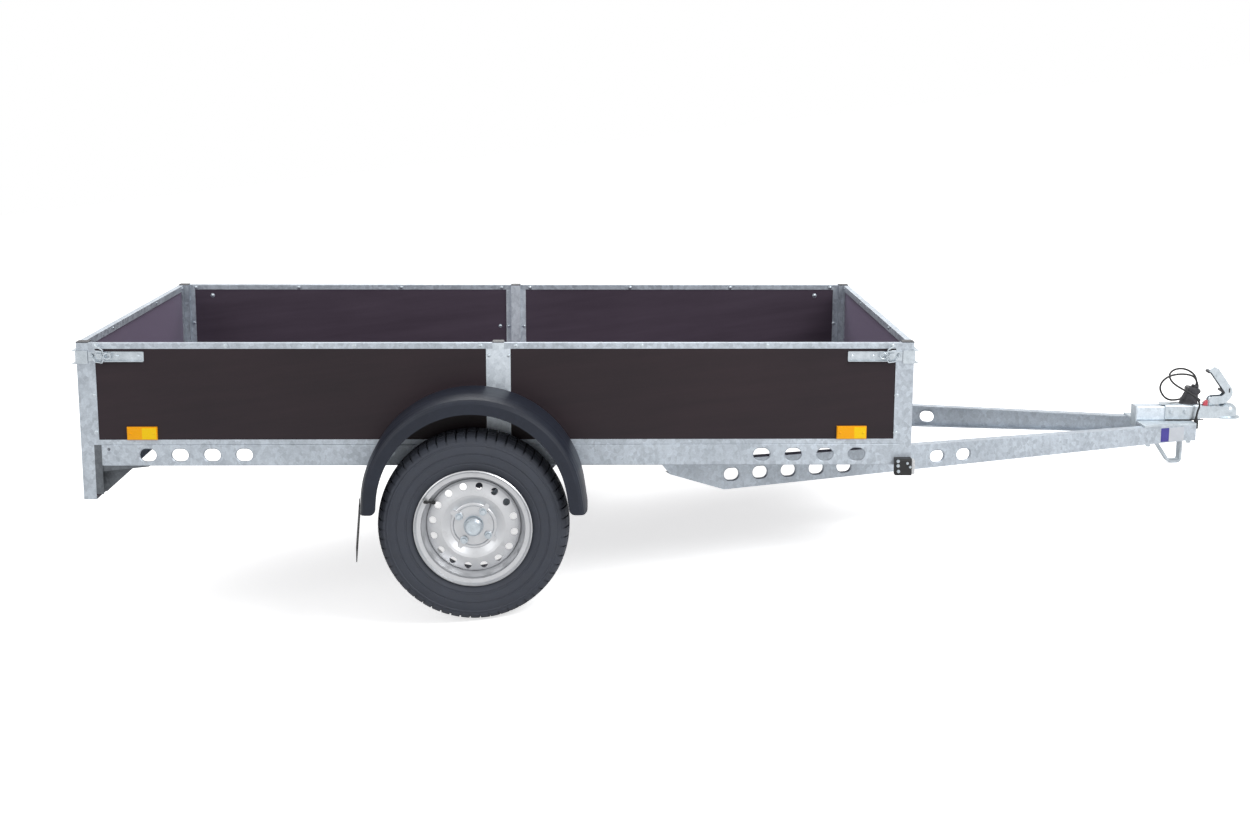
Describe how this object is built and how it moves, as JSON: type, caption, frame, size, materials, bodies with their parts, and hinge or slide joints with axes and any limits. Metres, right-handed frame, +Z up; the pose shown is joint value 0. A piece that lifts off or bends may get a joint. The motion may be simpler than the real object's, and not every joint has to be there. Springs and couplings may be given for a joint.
{
  "type": "utility trailer",
  "caption": "Single-axle box utility trailer with plywood sides, hinged front and rear gates, V drawbar, ball coupling and fixed rest foot.",
  "frame": {"origin": "on the ground, under the middle of the parked trailer's box", "axes": "+X forward to the coupling, +Y to the trailer's left, +Z up; the trailer stands nose down on its rest foot, as it parks"},
  "size_m": [3.8976, 1.92, 0.9954],
  "materials": {
    "galvanised_sheet": "spangled hot-dip galvanised sheet steel, satin",
    "galvanised_bar": "hot-dip galvanised steel, dull grey",
    "zinc_plated": "bright zinc-plated steel, semi-gloss",
    "film_plywood": "dark brown phenolic film-faced plywood, smooth satin",
    "black_plastic": "black moulded plastic",
    "guard_plastic": "dark grey polyethylene, satin",
    "black_rubber": "black rubber",
    "amber_lens": "amber prismatic reflector",
    "red_lens": "red and amber lamp lens",
    "clear_lens": "clear lamp lens over white reflector",
    "rim_paint": "silver wheel paint, satin",
    "tyre_rubber": "black tyre rubber",
    "cable_sheath": "black cable sheath"
  },
  "bodies": {
    "chassis": {"side_beams": "galvanised_sheet", "cross_members": "galvanised_sheet", "floor_panel": "film_plywood", "corner_posts": "galvanised_sheet", "mid_posts": "galvanised_sheet", "post_caps": "black_plastic", "side_boards": "film_plywood", "top_rails": "galvanised_sheet", "lip_rails": "galvanised_sheet", "hinge_pins": "zinc_plated", "latch_strips": "zinc_plated", "latch_catches": "zinc_plated", "light_board": "galvanised_sheet", "board_gussets": "galvanised_sheet", "tail_lamps": "red_lens", "rear_triangles": "red_lens", "reflectors": "amber_lens", "marker_bases": "black_rubber", "marker_lamps": "clear_lens", "axle_tube": "galvanised_bar", "axle_brackets": "galvanised_bar", "swing_arms": "galvanised_bar", "mudguards": "guard_plastic", "guard_brackets": "galvanised_bar", "mud_flaps": "black_rubber", "drawbar_beams": "galvanised_sheet", "drawbar_packers": "galvanised_sheet", "nose_plate": "galvanised_bar", "drawtube": "galvanised_bar", "coupling_body": "zinc_plated", "coupling_handle": "zinc_plated", "rest_foot": "galvanised_bar", "cable_gland": "black_rubber", "cable": "cable_sheath", "plug": "black_plastic"},
    "wheel_right": {"rim_right": "rim_paint", "tyre_right": "tyre_rubber", "hub_right": "zinc_plated"},
    "wheel_left": {"rim_left": "rim_paint", "tyre_left": "tyre_rubber", "hub_left": "zinc_plated"},
    "tailgate": {"tailgate_board": "film_plywood", "tailgate_frame": "galvanised_sheet", "tailgate_straps": "zinc_plated"},
    "headboard": {"headboard_board": "film_plywood", "headboard_frame": "galvanised_sheet", "headboard_straps": "zinc_plated"}
  },
  "joints": [
    {"name": "wheel_right_turn", "type": "hinge", "parent": "chassis", "child": "wheel_right", "pos_m": [-0.73201, -0.85, 0.297], "axis": [0, 1, 0], "continuous": true},
    {"name": "wheel_left_turn", "type": "hinge", "parent": "chassis", "child": "wheel_left", "pos_m": [-0.73201, 0.85, 0.297], "axis": [0, 1, 0], "continuous": true},
    {"name": "tailgate_hinge", "type": "hinge", "parent": "chassis", "child": "tailgate", "pos_m": [-1.92991, 0, 0.68289], "axis": [0, -1, 0], "range_deg": [0, 180]},
    {"name": "headboard_hinge", "type": "hinge", "parent": "chassis", "child": "headboard", "pos_m": [0.66659, 0, 0.36402], "axis": [0, 1, 0], "range_deg": [0, 100]}
  ]
}
